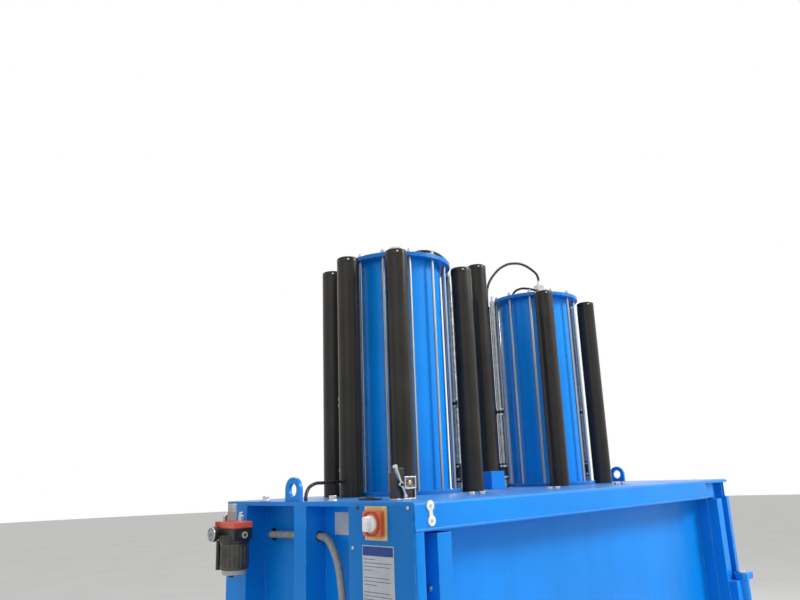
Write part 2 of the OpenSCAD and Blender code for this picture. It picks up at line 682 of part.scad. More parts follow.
module loop_hose() color(dark) cap_hose(1, [loop_a, loop_a + 10 * up, [18, -21, 129], [-2, -12, 148],
  [-45, 8, 171], [-85, 27, 173], [-126, 46, 161], [-181, 71, 112], [loop_b[0] + 5, loop_b[1] - 3, 52],
  [loop_b[0], loop_b[1], 0], loop_b], 11, [0.39, 0.92, 0]);
module cap_hose_left() color(dark) cap_hose(-1, [side_port, side_port + 12 * fan, side_port + [42, -30, 13],
  [125, -70, 66], [160, -72, 60], [pipe_pt[0] - 4, pipe_pt[1] - 2, 36], pipe_end + 12 * up, pipe_end],
  11, [0.3, 0.95, 0]);
module cap_hose_right() color(dark) cap_hose(1, [[low_port[0], low_port[1], fitting_h + loose],
  [low_port[0], low_port[1], fitting_h + 12], [-44, 64, 54], [-38, 34, 64], [-30, 4, 60], [-22, -16, 53],
  [-12, -24, block_h - 16], port_at(1) + [-port_flat - loose, 0, block_h - 16]], 10, [0.8, 0.6, 0]);

// Black hose from the deck's edge to the connector beside the left barrel
deck_hose_a = [-hw + 30, yf + 454, deck_h + loose];
deck_hose_b = [-cyl_x - pipe_pt[0] - pipe_d / 2 - 3 - loose, cyl_y - pipe_pt[1], deck_h + 48];
function on_deck(part, h) = deck_hose_a + part * (deck_hose_b - deck_hose_a) + [0, 0, h - 48 * part];
module deck_hose() color(dark) tube_along(route([deck_hose_a, on_deck(0, 12), on_deck(0.05, 30),
  on_deck(0.16, 42), on_deck(0.5, 47), on_deck(0.82, 48), deck_hose_b - [14, 0, 0], deck_hose_b], 4),
  10, [0.52, -0.85, 0]);

// Grey air hose: out of the skin in the rear bay, through the rib, down the next bay
hose_z = deck_h - 94;
hose_x = -hw + 48;
hose_start = [-skin_x + 3, yf + 672, hose_z - 4];
hose_end = [-skin_x + 3, yf + 300, hose_z - 480];
module bay_hose() color([0.55, 0.55, 0.53]) tube_along(route([hose_start, hose_start + [-13, -20, 1],
  [hose_x + 4, yf + 610, hose_z - 1], [hose_x, yf + 560, hose_z], [hose_x, yf + rib_a[1] + 10, hose_z],
  [hose_x, yf + rib_a[0] - 10, hose_z - 1], [hose_x - 3, yf + 381, hose_z - 5], [hose_x - 8, yf + 348, hose_z - 30],
  [hose_x - 13, yf + 322, hose_z - 67], [hose_x - 15, yf + 308, hose_z - 115], [hose_x - 16, yf + 302, hose_z - 150],
  [hose_x - 17, yf + 298, hose_z - 240], [hose_x - 14, yf + 298, hose_z - 370], [hose_x - 4, yf + 299, hose_z - 440],
  [-skin_x - 14, yf + 300, hose_z - 472], hose_end], 4), hose_d, [1, 0.12, 0.35]);

// Lifting lugs on the deck's ends
lug_hole = 36;
lug_w = 70;
lug_h = 66;
module lifting_lugs() color(blue) for (s = [-1, 1])
  translate([s * (hw - 14) - 6, yf + 488, deck_h]) rotate([90, 0, 90]) linear_extrude(12) difference() {
    union() {
      translate([-lug_w / 2, 0]) square([lug_w, lug_h - lug_w / 2]);
      translate([0, lug_h - lug_w / 2]) circle(d = lug_w);
    }
    translate([0, lug_h - lug_w / 2]) circle(d = lug_hole);
    translate([-lug_w, -lug_w]) square([2 * lug_w, lug_w]);
  }

// Position switch on the deck's left end: bracket, switch block and a lever that leans outwards
sw = [-hw + 80, yf + 107, deck_h];
lever_tilt = -24;
lever_z = 38;
lever_down = 31;
lever_up = 48;
module switch_bracket() color(zinc) translate(sw) {
  block([-12, 20, 0], [58, 48, 4]);
  block([54, 20, 4], [58, 48, 26]);
  difference() {
    block([16, 18, 26], [58, 42, 58]);
    block([20, 17, 30], [54, 38, 54]);
  }
  translate([37, 38, 42]) rotate([90, 0, 0]) cylinder(d = 13, h = 15, $fn = 6);
}
module switch_body() color(dark) translate(sw) {
  difference() {
    block([-12, 20, 4], [16, 48, 80]);
    block([-13, 19, 68], [-6, 49, 81]);
  }
  translate([0, 20, lever_z]) rotate([90, 0, 0]) cylinder(d = 8, h = 12);
}
module switch_lever() color(zinc) translate(sw + [0, 20 - loose, lever_z]) rotate([90, 0, 0]) difference() {
  rotate(-lever_tilt) linear_extrude(8) {
    circle(d = 15);
    translate([-3, -lever_down]) square([6, lever_down + lever_up]);
    translate([0, lever_up]) circle(d = 12);
    translate([0, -lever_down]) circle(d = 11);
  }
  translate([0, 0, -1]) cylinder(d = 8 + 2 * fit, h = 10);
}

// Air preparation unit hung on the left side at the rear: z is measured down from the deck
ap = [-hw - 62, yr - 145, deck_h];
ap_top = -52;
cover_h = 18;
bowl_top = -112;
bowl_h = 70;
ap_y = [-44, 56];
module filter_bracket() color(blue) {
  block([-hw - 4, ap[1] + 40, deck_h - 124], [-hw, ap[1] + 100, deck_h - 64]);
  block([ap[0] + 30, ap[1] + 40, deck_h - 108], [-hw - 4, ap[1] + ap_y[1], deck_h - 78]);
}
module filter_body() color(dark) translate(ap) {
  block([-30, ap_y[0], bowl_top + 10], [30, ap_y[1], ap_top - cover_h]);
  translate([0, 0, bowl_top]) cylinder(d = bowl_d + 4, h = 22);
  translate([0, ap_y[0], -88]) rotate([90, 0, 0]) cylinder(d = 20, h = 8, $fn = 6);
}
module filter_cover() color([0.85, 0.30, 0.15]) translate(ap) difference() {
  block([-33, ap_y[0] - 2, ap_top - cover_h], [30, ap_y[1] + 2, ap_top]);
  block([-34, 24, ap_top - cover_h - 1], [-26, 50, ap_top + 1]);
}
module filter_bowl() color(dark) translate(ap + [0, 0, bowl_top]) {
  difference() {
    translate([0, 0, -bowl_h]) cylinder(d = bowl_d, h = bowl_h);
    for (a = [0 : 20 : 340]) rotate(a) translate([bowl_d / 2 + 1, 0, 8 - bowl_h]) cylinder(d = 7, h = bowl_h - 14);
  }
  translate([0, 0, -bowl_h - 14]) cylinder(d = bowl_d - 12, h = 14);
  translate([0, 16, -bowl_h - 24]) cylinder(d = 14, h = 10);
}
module pressure_gauge() color(zinc) translate(ap + [-30, 42, -86]) rotate([0, -90, 0]) {
  cylinder(d = 10, h = 10);
  translate([0, 0, 10]) cylinder(d = 42, h = 14);
}
module regulator_knob() color([0.75, 0.76, 0.72]) translate(ap + [0, 17, ap_top + loose]) difference() {
  union() {
    cylinder(d = 26, h = 28);
    translate([0, 0, 28]) cylinder(d = 23, h = 20);
  }
  for (a = [0 : 30 : 330]) rotate(a) translate([13.8, 0, 4]) cylinder(d = 3, h = 20);
}
module air_inlet() color(zinc) translate(ap) {
  translate([-6, 46, ap_top]) cylinder(d = 13, h = 14);
  translate([-6, 46, ap_top + 14]) sphere(d = 15);
  translate([0, -29, ap_top]) cylinder(d = 16, h = 17, $fn = 6);
  translate([0, -29, ap_top + 17]) cylinder(d = 11, h = 9);
  translate([-14, ap_y[1], -94]) rotate([-90, 0, 0]) cylinder(d = 9, h = 8);
  translate([-14, ap_y[1] + 9, -188]) cylinder(d = 12, h = 99);
}

// Zinc bolts on the deck
bolt_parts = [0.201, 0.226, 0.411, 0.435, 0.645, 0.671];
module deck_bolts() color(zinc) {
  for (part = bolt_parts) translate([-hw + part * body_w, yf + 140, deck_h]) cylinder(d = 19, h = 9, $fn = 6);
  for (part = [0.4, 0.786]) translate([-hw + 22, yf + part * body_d, deck_h]) {
    cylinder(d = 28, h = 3);
    translate([0, 0, 3]) cylinder(d = 22, h = 12, $fn = 6);
  }
}

base_frame();
chamber_floor();
left_wall();
right_wall();
rear_wall();
rear_ribs();
top_deck();
deck_beams();
left_corner_post();
right_corner_post();
control_box();
control_cover();
isolator_plate();
isolator_housing();
isolator_knob();
barrel_left();
barrel_right();
head_left();
head_right();
foot_left();
foot_right();
tie_rods_left();
tie_rods_right();
piston_rod_left();
piston_rod_right();
sleeves_left();
sleeves_right();
side_sleeves();
middle_sleeve();
middle_box();
guide_bushes();
guide_rods();
press_plate();
air_pipes_left();
air_pipes_right();
pipe_connectors();
loop_hose();
cap_hose_left();
cap_hose_right();
cap_fittings();
deck_hose();
bay_hose();
lifting_lugs();
switch_bracket();
switch_body();
switch_lever();
filter_bracket();
filter_body();
filter_cover();
filter_bowl();
pressure_gauge();
regulator_knob();
air_inlet();
deck_bolts();
loading_door();
bale_door();
hinge_pins();
loading_latch();
bale_latch();
latch_keepers();
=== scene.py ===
import json
import bpy
import bmesh
from math import cos, pi, radians, sin
from mathutils import Matrix, Vector


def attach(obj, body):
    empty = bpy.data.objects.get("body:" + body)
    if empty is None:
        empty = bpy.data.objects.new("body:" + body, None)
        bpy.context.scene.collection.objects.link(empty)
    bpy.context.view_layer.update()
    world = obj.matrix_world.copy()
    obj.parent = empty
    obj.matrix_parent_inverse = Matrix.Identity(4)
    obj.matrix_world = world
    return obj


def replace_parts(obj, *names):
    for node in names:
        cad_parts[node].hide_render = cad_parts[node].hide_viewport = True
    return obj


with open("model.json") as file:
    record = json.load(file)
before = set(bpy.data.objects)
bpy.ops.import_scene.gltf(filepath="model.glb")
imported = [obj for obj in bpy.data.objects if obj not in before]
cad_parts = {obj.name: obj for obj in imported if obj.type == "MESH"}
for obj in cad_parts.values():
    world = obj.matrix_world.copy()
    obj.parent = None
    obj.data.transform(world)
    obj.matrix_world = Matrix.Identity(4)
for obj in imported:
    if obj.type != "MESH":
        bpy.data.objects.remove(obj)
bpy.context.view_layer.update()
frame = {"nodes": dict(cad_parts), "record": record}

# Base frame: channels of folded steel round the edge, a square tube down the middle and four
# anchor plates, all welded. Its blue enamel is a sprayed coat, slightly uneven in tone, dusty
# where it faces up, and pale along its edges, partly rubbed and partly a painted highlight.
body_of = {n: b for b, nodes in frame["record"]["behaviour"]["bodies"].items() for n in nodes}


def add(tree, kind, inputs=(), **settings):
    node = tree.nodes.new("ShaderNode" + kind)
    for key, value in settings.items():
        setattr(node, key, value)
    for key, value in dict(inputs).items():
        if isinstance(value, bpy.types.NodeSocket):
            tree.links.new(value, node.inputs[key])
        else:
            node.inputs[key].default_value = value
    return node


def cloud(tree, scale, detail=3.0, stretch=(1, 1, 1), low=0.35, high=0.65):
    place = add(tree, "TexCoord").outputs["Object"]
    spread = add(tree, "Mapping", {"Vector": place, "Scale": stretch}).outputs[0]
    noise = add(tree, "TexNoise", {"Vector": spread, "Scale": scale, "Detail": detail}).outputs[0]
    return add(tree, "MapRange", {"Value": noise, "From Min": low, "From Max": high}).outputs[0]


def product(tree, a, b):
    return add(tree, "Math", {0: a, 1: b}, operation="MULTIPLY").outputs[0]


def between(tree, factor, low, high):
    low, high = [tuple(c) + (1,) if isinstance(c, tuple) else c for c in (low, high)]
    return add(tree, "Mix", {0: factor, 6: low, 7: high}, data_type="RGBA").outputs[2]


def shade(colour, amount):
    return tuple(min(1.0, c * amount) for c in colour)


def surface(name, metallic=0.0):
    material = bpy.data.materials.new(name)
    material.use_nodes = True
    shader = material.node_tree.nodes["Principled BSDF"]
    shader.inputs["Metallic"].default_value = metallic
    return material, material.node_tree, shader


def set_finish(tree, shader, colour, smooth, rough, gloss_cloud, bump, strength, depth):
    tree.links.new(colour, shader.inputs["Base Color"])
    spread = add(tree, "MapRange", {"Value": gloss_cloud, "To Min": smooth, "To Max": rough})
    tree.links.new(spread.outputs[0], shader.inputs["Roughness"])
    relief = add(tree, "Bump", {"Height": bump, "Strength": strength, "Distance": depth})
    tree.links.new(relief.outputs[0], shader.inputs["Normal"])


def facing_up(tree):
    normal = add(tree, "NewGeometry").outputs["Normal"]
    lift = add(tree, "SeparateXYZ", {0: normal}).outputs[2]
    return add(tree, "MapRange", {"Value": lift, "From Min": 0.75, "From Max": 0.98}).outputs[0]


def edges(tree, width):
    round_normal = add(tree, "Bevel", {"Radius": width}, samples=4).outputs[0]
    flat_normal = add(tree, "NewGeometry").outputs["Normal"]
    near = add(tree, "VectorMath", {0: round_normal, 1: flat_normal}, operation="DOT_PRODUCT")
    near = near.outputs["Value"]
    return add(tree, "MapRange", {"Value": near, "From Min": 0.985, "From Max": 0.90}).outputs[0]


def enamel(name, colour, smooth, rough, dust=0.5, wear_and_highlight=0.5):
    material, tree, shader = surface(name)
    rubbed_and_highlit_width = 0.0035
    chip_blue, rubbed_and_highlit_blue, dust_grey = (0.35, 0.50, 0.66), (0.20, 0.44, 0.72), (0.22, 0.27, 0.32)
    tone = between(tree, cloud(tree, 2.3, 4), shade(colour, 0.88), shade(colour, 1.07))
    runs = product(tree, cloud(tree, 26, 3, (1, 1, 0.05), 0.5, 0.8), 0.16)
    tone = between(tree, runs, tone, shade(colour, 0.55))
    fleck = product(tree, cloud(tree, 420, 2, low=0.68, high=0.78), 0.25)
    tone = between(tree, fleck, tone, chip_blue)
    # Pale edges: partly rubbed paint, partly a painted highlight standing for light caught on the
    # folds and rims.
    rubbed_and_highlit = product(tree, edges(tree, rubbed_and_highlit_width), cloud(tree, 60, 4, low=0.42, high=0.62))
    tone = between(tree, product(tree, rubbed_and_highlit, wear_and_highlight), tone, rubbed_and_highlit_blue)
    film = product(tree, facing_up(tree), cloud(tree, 7, 5, low=0.2, high=0.7))
    tone = between(tree, product(tree, film, dust), tone, dust_grey)
    gloss = cloud(tree, 5, 4)
    peel = cloud(tree, 900, 1, low=0.3, high=0.7)
    set_finish(tree, shader, tone, smooth, rough, gloss, peel, 0.05, 0.0003)
    shader.inputs["Specular IOR Level"].default_value = 0.22
    shader.inputs["Coat Weight"].default_value = 0.05
    shader.inputs["Coat Roughness"].default_value = 0.12
    return material


def piece(name, bm, material, body, smooth=35):
    same_point = 0.000002
    bmesh.ops.remove_doubles(bm, verts=bm.verts[:], dist=same_point)
    for face in bm.faces:
        face.smooth = True
    for edge in bm.edges:
        edge.smooth = len(edge.link_faces) == 2 and edge.calc_face_angle(0) < radians(smooth)
    mesh = bpy.data.meshes.new(name)
    bm.to_mesh(mesh)
    bm.free()
    mesh.materials.append(material)
    made = bpy.data.objects.new(name, mesh)
    bpy.context.scene.collection.objects.link(made)
    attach(made, body)
    return made


def dressed(node, material, soft=0.001, corner=40):
    loose_join, flat = 0.00002, radians(0.8)
    bm = bmesh.new()
    bm.from_mesh(frame["nodes"][node].data)
    bmesh.ops.remove_doubles(bm, verts=bm.verts[:], dist=loose_join)
    bmesh.ops.dissolve_limit(bm, angle_limit=flat, verts=bm.verts[:], edges=bm.edges[:])
    bmesh.ops.triangulate(bm, faces=[f for f in bm.faces if len(f.verts) > 4])
    made = piece(node + "_finished", bm, material, body_of[node], corner)
    soften = made.modifiers.new("Softened edges", "BEVEL")
    soften.width = soft
    soften.segments = 2
    soften.limit_method = "ANGLE"
    soften.angle_limit = radians(corner)
    soften.harden_normals = True
    soften.use_clamp_overlap = False
    soften.loop_slide = False
    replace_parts(made, node)
    return made


body_blue = (0.001, 0.245, 0.80)
blue_paint = enamel("blue_paint", body_blue, 0.30, 0.46)
dressed("base_frame", blue_paint, 0.0015)

# Chamber floor: a bare steel plate with raised pads, and channels between them for the straps
# that tie the bale. The steel is worn bright on its pads and dull and brown in its corners.


def worn_steel(name, colour):
    material, tree, shader = surface(name, 0.75)
    tone = between(tree, cloud(tree, 9, 5), shade(colour, 0.6), shade(colour, 1.5))
    rust = product(tree, cloud(tree, 14, 6, low=0.52, high=0.70), 0.55)
    tone = between(tree, rust, tone, (0.16, 0.075, 0.035))
    drag = cloud(tree, 30, 4, (0.06, 1, 1), 0.40, 0.60)
    set_finish(tree, shader, tone, 0.34, 0.62, drag, drag, 0.12, 0.0004)
    return material


plate_steel = worn_steel("plate_steel", (0.16, 0.17, 0.18))
dressed("chamber_floor", plate_steel, 0.0015)

# Walls: a steel skin on each side of the chamber with folded ribs outside it, and a rear skin
# with hat ribs and cross strips. All are welded to the base frame and painted body blue.
for wall in ("left_wall", "right_wall", "rear_wall", "rear_ribs"):
    dressed(wall, blue_paint, 0.0012)

# Corner posts: sheet folded to a front strip, a recess and an inner leg, and welded to the side
# walls. The right one carries the hinge lugs, and the left one faces the doors' latches.
for post in ("left_corner_post", "right_corner_post"):
    dressed(post, blue_paint, 0.0012)

# Deck: one plate with its front rail folded down over a round edge, and the beams under it that
# carry the cylinders. Zinc bolts hold the plate to the frame.
dressed("deck_beams", blue_paint, 0.0012)
dressed("top_deck", blue_paint, 0.0008, 50)


def zinc_plate(name, colour, smooth=0.18, rough=0.36):
    material, tree, shader = surface(name, 1.0)
    tone = between(tree, cloud(tree, 60, 4), shade(colour, 0.88), shade(colour, 1.06))
    tarnish = product(tree, cloud(tree, 22, 5, low=0.50, high=0.75), 0.35)
    tone = between(tree, tarnish, tone, (0.50, 0.47, 0.40))
    grain = cloud(tree, 1500, 2)
    set_finish(tree, shader, tone, smooth, rough, cloud(tree, 35, 3), grain, 0.06, 0.0001)
    return material


zinc = zinc_plate("zinc", (0.60, 0.62, 0.63), 0.22, 0.42)
dressed("deck_bolts", zinc, 0.0012)
dressed("lifting_lugs", blue_paint, 0.0014, 30)

# Strap plate: a white nylon link with two round ends, moulded in one piece. Two zinc screws hold
# it to the front rail, near the rail's left end.


def plastic(name, colour, smooth=0.30, rough=0.45, grime=0.25, dirt=(0.20, 0.18, 0.15)):
    material, tree, shader = surface(name)
    tone = between(tree, cloud(tree, 18, 4), shade(colour, 0.90), shade(colour, 1.05))
    film = product(tree, cloud(tree, 40, 5, low=0.50, high=0.78), grime)
    tone = between(tree, film, tone, dirt)
    grain = cloud(tree, 1200, 1)
    set_finish(tree, shader, tone, smooth, rough, cloud(tree, 24, 3), grain, 0.05, 0.0002)
    return material


white_plastic = plastic("white_plastic", (0.88, 0.88, 0.86))


def join(bm, part, place=Matrix()):
    part.transform(place)
    mesh = bpy.data.meshes.new("part")
    part.to_mesh(mesh)
    part.free()
    bm.from_mesh(mesh)
    bpy.data.meshes.remove(mesh)


def slab(size, centre, soft=0.001, segments=2):
    bm = bmesh.new()
    bmesh.ops.create_cube(bm, size=1, matrix=Matrix.LocRotScale(Vector(centre), None, Vector(size)))
    if soft:
        bmesh.ops.bevel(bm, geom=bm.edges[:], offset=soft, segments=segments, profile=0.5,
                        affect="EDGES", material=-1)
    return bm


def disc(radius, height, segments=32, soft=0.0006, top=None):
    bm = bmesh.new()
    bmesh.ops.create_cone(bm, cap_ends=True, segments=segments, radius1=radius, depth=height,
                          radius2=radius if top is None else top,
                          matrix=Matrix.Translation((0, 0, height / 2)))
    if soft:
        rims = [e for e in bm.edges if e.calc_face_angle(0) > radians(50) and
                abs(e.verts[0].co.z - e.verts[1].co.z) < 1e-6]
        bmesh.ops.bevel(bm, geom=rims, offset=soft, segments=2, profile=0.5, affect="EDGES",
                        material=-1)
    return bm


to_front = Matrix.Rotation(radians(90), 4, "X")
rail_front = -0.407
eye_radius, eye_thickness, link_thickness = 0.0128, 0.0030, 0.0026
screw_radius, screw_height = 0.0040, 0.0044
strap = bmesh.new()
strap_screws = bmesh.new()
for x, height in ((-0.8885, 1.5890), (-0.8855, 1.5545)):
    eye = Matrix.Translation((x, rail_front, height)) @ to_front
    join(strap, disc(eye_radius, eye_thickness, 32, 0.001), eye)
    join(strap_screws, disc(screw_radius, screw_height, 20), eye)
link = slab((0.0120, link_thickness, 0.036), (0, rail_front - link_thickness / 2, 0))
lean = Matrix.Rotation(radians(-5), 4, "Y")
join(strap, link, Matrix.Translation((-0.8870, 0, 1.5718)) @ lean)
piece("strap_plate", strap, white_plastic, "frame")
piece("strap_screws", strap_screws, zinc, "frame")

# Cable clip: a moulded black plastic saddle, glued down at the deck's left end.
# Stile bolt: a zinc-plated hexagon bolt on its washer, in the side of the door's left stile.
black_plastic = plastic("black_plastic", (0.020, 0.020, 0.021), 0.30, 0.46, 0.18,
                        (0.12, 0.11, 0.10))
clip_x, clip_y = -0.8585, -0.1650
clip = bmesh.new()
join(clip, slab((0.026, 0.066, 0.0050), (clip_x, clip_y, 1.6025), 0.0012))
join(clip, slab((0.020, 0.014, 0.0030), (clip_x, clip_y, 1.6065), 0.0010))
piece("deck_clip", clip, black_plastic, "frame")
to_left = Matrix.Rotation(radians(-90), 4, "Y")
stile_side = Matrix.Translation((-0.864, -0.3750, 1.3992)) @ to_left
washer_radius, washer_height, head_radius, head_height = 0.0085, 0.0016, 0.0060, 0.0052
stile_bolt = bmesh.new()
join(stile_bolt, disc(washer_radius, washer_height, 32), stile_side)
join(stile_bolt, disc(head_radius, head_height, 6, 0.0008), stile_side)
piece("stile_bolt", stile_bolt, zinc, "loading_door")

# Cylinder ends: turned flanges with the tie rods' holes, painted blue before the rods went in,
# so their rims are rubbed, and their pale rims also carry a painted highlight. The feet are sunk
# through the deck round the piston rods' glands.
# The strong edge mark makes the flanges' rims pale: partly rubbed paint, partly a painted
# highlight.
flange_paint = enamel("flange_paint", (0.001, 0.20, 0.66), 0.26, 0.42, dust=0.4, wear_and_highlight=0.9)
for end in ("head_left", "head_right", "foot_left", "foot_right"):
    dressed(end, flange_paint, 0.0012, 35)

# Barrels: drawn steel tubes, clamped between the flanges by the tie rods, with a seal at each
# end. They are sprayed in a brighter, glossier blue than the body.
barrel_paint = enamel("barrel_paint", (0.001, 0.29, 0.92), 0.22, 0.34, dust=0.2, wear_and_highlight=0.2)
for barrel in ("barrel_left", "barrel_right"):
    dressed(barrel, barrel_paint, 0.0008, 35)

# Tie rods: twelve drawn rods on each cylinder, zinc plated and gone dull, with a nut on the
# flange and a short length of thread above it.


def dull_rod(name):
    material, tree, shader = surface(name, 1.0)
    tone = between(tree, cloud(tree, 7, 4, (1, 1, 0.15)), (0.30, 0.33, 0.35), (0.46, 0.49, 0.50))
    film = product(tree, cloud(tree, 25, 4, (1, 1, 0.2), 0.5, 0.8), 0.5)
    tone = between(tree, film, tone, (0.16, 0.17, 0.17))
    sheen = cloud(tree, 12, 3, (1, 1, 0.1))
    set_finish(tree, shader, tone, 0.34, 0.50, sheen, cloud(tree, 700, 1), 0.02, 0.0001)
    return material


rod_zinc = dull_rod("rod_zinc")
for rods in ("tie_rods_left", "tie_rods_right"):
    dressed(rods, rod_zinc, 0.0007, 35)

# Piston rods and guide rods: turned steel with hard chrome, ground bright, under a thin film of
# oil. They are bolted to the press plate's seats and slide in the glands and bushes.


def ground_chrome(name):
    material, tree, shader = surface(name, 1.0)
    tone = between(tree, cloud(tree, 30, 3), (0.66, 0.67, 0.69), (0.80, 0.80, 0.82))
    fine = cloud(tree, 500, 2, (1, 1, 0.02))
    set_finish(tree, shader, tone, 0.07, 0.16, cloud(tree, 12, 4), fine, 0.03, 0.0001)
    return material


rod_chrome = ground_chrome("rod_chrome")
for rods in ("piston_rod_left", "piston_rod_right", "guide_rods"):
    dressed(rods, rod_chrome, 0.0008, 35)

# Press plate: channels and rod seats welded on a thick steel plate, its underside grooved for the
# straps. It hangs from the piston rods and is worn bright by what it presses.
press_paint = worn_steel("press_paint", (0.09, 0.10, 0.11))
dressed("press_plate", press_paint, 0.0015)

# Guide bushes: turned brass sleeves with a flange, pressed into the deck's holes. The guide rods
# run in them.
bush_brass = zinc_plate("bush_brass", (0.74, 0.56, 0.26))
dressed("guide_bushes", bush_brass, 0.0006, 35)

# Sleeves: black plastic tubes that stand over the guide rods, each shut by a turned cap with a
# rounded shoulder, held by two small screws. Drawn tube has faint lengthwise lines and takes
# dust. The middle sleeve stands on a blue box of folded steel.


def drawn_tube(name):
    material, tree, shader = surface(name)
    tone = between(tree, cloud(tree, 5, 4), (0.014, 0.0130, 0.0110), (0.030, 0.0265, 0.0210))
    lines = cloud(tree, 55, 3, (1, 1, 0.03))
    tone = between(tree, product(tree, lines, 0.35), tone, (0.045, 0.040, 0.032))
    scuff = product(tree, cloud(tree, 45, 5, (1, 1, 0.25), 0.62, 0.80), 0.30)
    tone = between(tree, scuff, tone, (0.09, 0.085, 0.08))
    film = product(tree, facing_up(tree), 0.45)
    tone = between(tree, film, tone, (0.20, 0.19, 0.17))
    set_finish(tree, shader, tone, 0.22, 0.36, lines, lines, 0.05, 0.0003)
    shader.inputs["Specular IOR Level"].default_value = 0.24
    return material


sleeve_black = drawn_tube("sleeve_black")
sleeve_screws = bmesh.new()
screw_turns = (-128, 52)


def turned(profile, steps):
    bm = bmesh.new()
    verts = [bm.verts.new((r, 0, h)) for r, h in profile]
    rim = [bm.edges.new(pair) for pair in zip(verts, verts[1:])]
    bmesh.ops.spin(bm, geom=verts + rim, cent=(0, 0, 0), axis=(0, 0, 1), angle=2 * pi, steps=steps,
                   use_merge=True)
    bmesh.ops.remove_doubles(bm, verts=bm.verts[:], dist=0.00001)
    bmesh.ops.recalc_face_normals(bm, faces=bm.faces[:])
    # A spin leaves these in an order that differs from run to run.
    one_order = Vector((1.0, 3.7, 17.3))
    bm.verts.sort(key=lambda v: v.co.dot(one_order))
    bm.edges.sort(key=lambda e: (e.verts[0].co + e.verts[1].co).dot(one_order))
    bm.faces.sort(key=lambda f: f.calc_center_median().dot(one_order))
    return bm


def sleeve(bm, x, y, foot, height):
    outer, bore, cap_radius, edge = 0.037, 0.034, 0.0371, 0.0364
    cap, cap_wall, screw_down = height - 0.021, 0.004, 0.0115
    profile = [(0, height - cap_wall), (bore, height - cap_wall), (bore, 0), (edge, 0),
               (outer, 0.0006), (outer, cap - 0.0006), (edge, cap), (edge, cap + 0.001),
               (cap_radius, cap + 0.0016), (cap_radius, height - 0.0060),
               (0.0368, height - 0.0042), (0.0359, height - 0.0024), (0.0343, height - 0.0010),
               (0.0320, height - 0.0003), (0.0290, height), (0, height)]
    join(bm, turned(profile[::-1], 64), Matrix.Translation((x, y, foot)))
    for turn in screw_turns:
        face = Matrix.Translation((x, y, foot + height - screw_down))
        face = face @ Matrix.Rotation(radians(turn), 4, "Z")
        face = face @ Matrix.Translation((0.0368, 0, 0)) @ Matrix.Rotation(radians(90), 4, "Y")
        join(sleeve_screws, disc(0.0032, 0.0014, 16, 0.0004), face)


cylinder_x, cylinder_y, deck = 0.430, 0.136, 1.600
corner_off, side_sleeve_x, sleeve_height = 0.165, 0.664, 0.783
middle_back, middle_foot, middle_height = 0.030, 1.664, 0.813
for side, name in ((-1, "sleeves_left"), (1, "sleeves_right")):
    tubes = bmesh.new()
    for dx in (-corner_off, corner_off):
        for dy in (-corner_off, corner_off):
            sleeve(tubes, side * cylinder_x + dx, cylinder_y + dy, deck, sleeve_height)
    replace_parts(piece(name + "_tubes", tubes, sleeve_black, "frame"), name)
tubes = bmesh.new()
for side in (-1, 1):
    sleeve(tubes, side * side_sleeve_x, cylinder_y, deck, sleeve_height)
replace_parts(piece("side_sleeve_tubes", tubes, sleeve_black, "frame"), "side_sleeves")
tubes = bmesh.new()
sleeve(tubes, 0, cylinder_y - middle_back, middle_foot, middle_height)
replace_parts(piece("middle_sleeve_tube", tubes, sleeve_black, "frame"), "middle_sleeve")
piece("sleeve_screws", sleeve_screws, zinc, "frame")
dressed("middle_box", blue_paint, 0.0014)

# Air pipes: galvanised steel pipe on both sides of each barrel, in two lengths. Black rubber
# connectors join them, and zinc worm drive clips hold the connectors.


def galvanised(name):
    material, tree, shader = surface(name, 1.0)
    place = add(tree, "TexCoord").outputs["Object"]
    flower = add(tree, "TexVoronoi", {"Vector": place, "Scale": 90}).outputs["Color"]
    level = add(tree, "SeparateXYZ", {0: flower}).outputs[0]
    tone = between(tree, level, (0.34, 0.35, 0.34), (0.52, 0.53, 0.51))
    set_finish(tree, shader, tone, 0.30, 0.48, level, cloud(tree, 300, 2), 0.05, 0.0002)
    return material


pipe_metal = galvanised("pipe_metal")
for pipes in ("air_pipes_left", "air_pipes_right"):
    dressed(pipes, pipe_metal, 0.0006, 35)


def rubber(name, colour):
    material, tree, shader = surface(name)
    tone = between(tree, cloud(tree, 14, 4), shade(colour, 0.8), shade(colour, 1.2))
    bloom = product(tree, cloud(tree, 70, 5, low=0.45, high=0.8), 0.22)
    tone = between(tree, bloom, tone, shade(colour, 2.4))
    grain = (cloud(tree, 30, 3), cloud(tree, 900, 2))
    set_finish(tree, shader, tone, 0.42, 0.62, *grain, 0.08, 0.0002)
    return material


hose_black = rubber("hose_black", (0.022, 0.021, 0.020))
dressed("pipe_connectors", hose_black, 0.0014, 35)
clips = bmesh.new()
pipe_turn = radians(-20)
pipe_reach = 0.214
clip_bore, clip_rim, clip_half = 0.0161, 0.0168, 0.004
clip_heights = (1.640, 1.684, 1.8935, 1.9145)
clip_band = [(clip_bore, -clip_half), (clip_rim, -clip_half), (clip_rim, clip_half),
             (clip_bore, clip_half), (clip_bore, -clip_half)]
for side in (-1, 1):
    for half in (0, 1):
        turn = pipe_turn + half * pi
        pipe_centre = Vector((side * cylinder_x + pipe_reach * cos(turn),
                              cylinder_y + pipe_reach * sin(turn), 0))
        for height in clip_heights:
            place = Matrix.Translation(pipe_centre + Vector((0, 0, height)))
            join(clips, turned(clip_band, 32), place)
            twist = Matrix.Rotation(radians(-120 + 25 * half), 4, "Z")
            join(clips, slab((0.006, 0.012, 0.008), (0.0195, 0, 0), 0.0008), place @ twist)
piece("pipe_clips", clips, zinc, "frame")

# Port fittings: zinc-plated steel blocks, screwed in the ports of the top flanges, with hexagon
# adaptors and hose tails.
dressed("cap_fittings", zinc, 0.001, 35)

# Hoses: black rubber air hose between the ports, the pipes and the deck, each pushed on its tail,
# and one grey hose that passes through the left side's rib. Both ends of every hose are held.
# Their points are in millimetres, and from_cap counts them from the middle of a top flange.
millimetres = 1000
head_top = 2.396


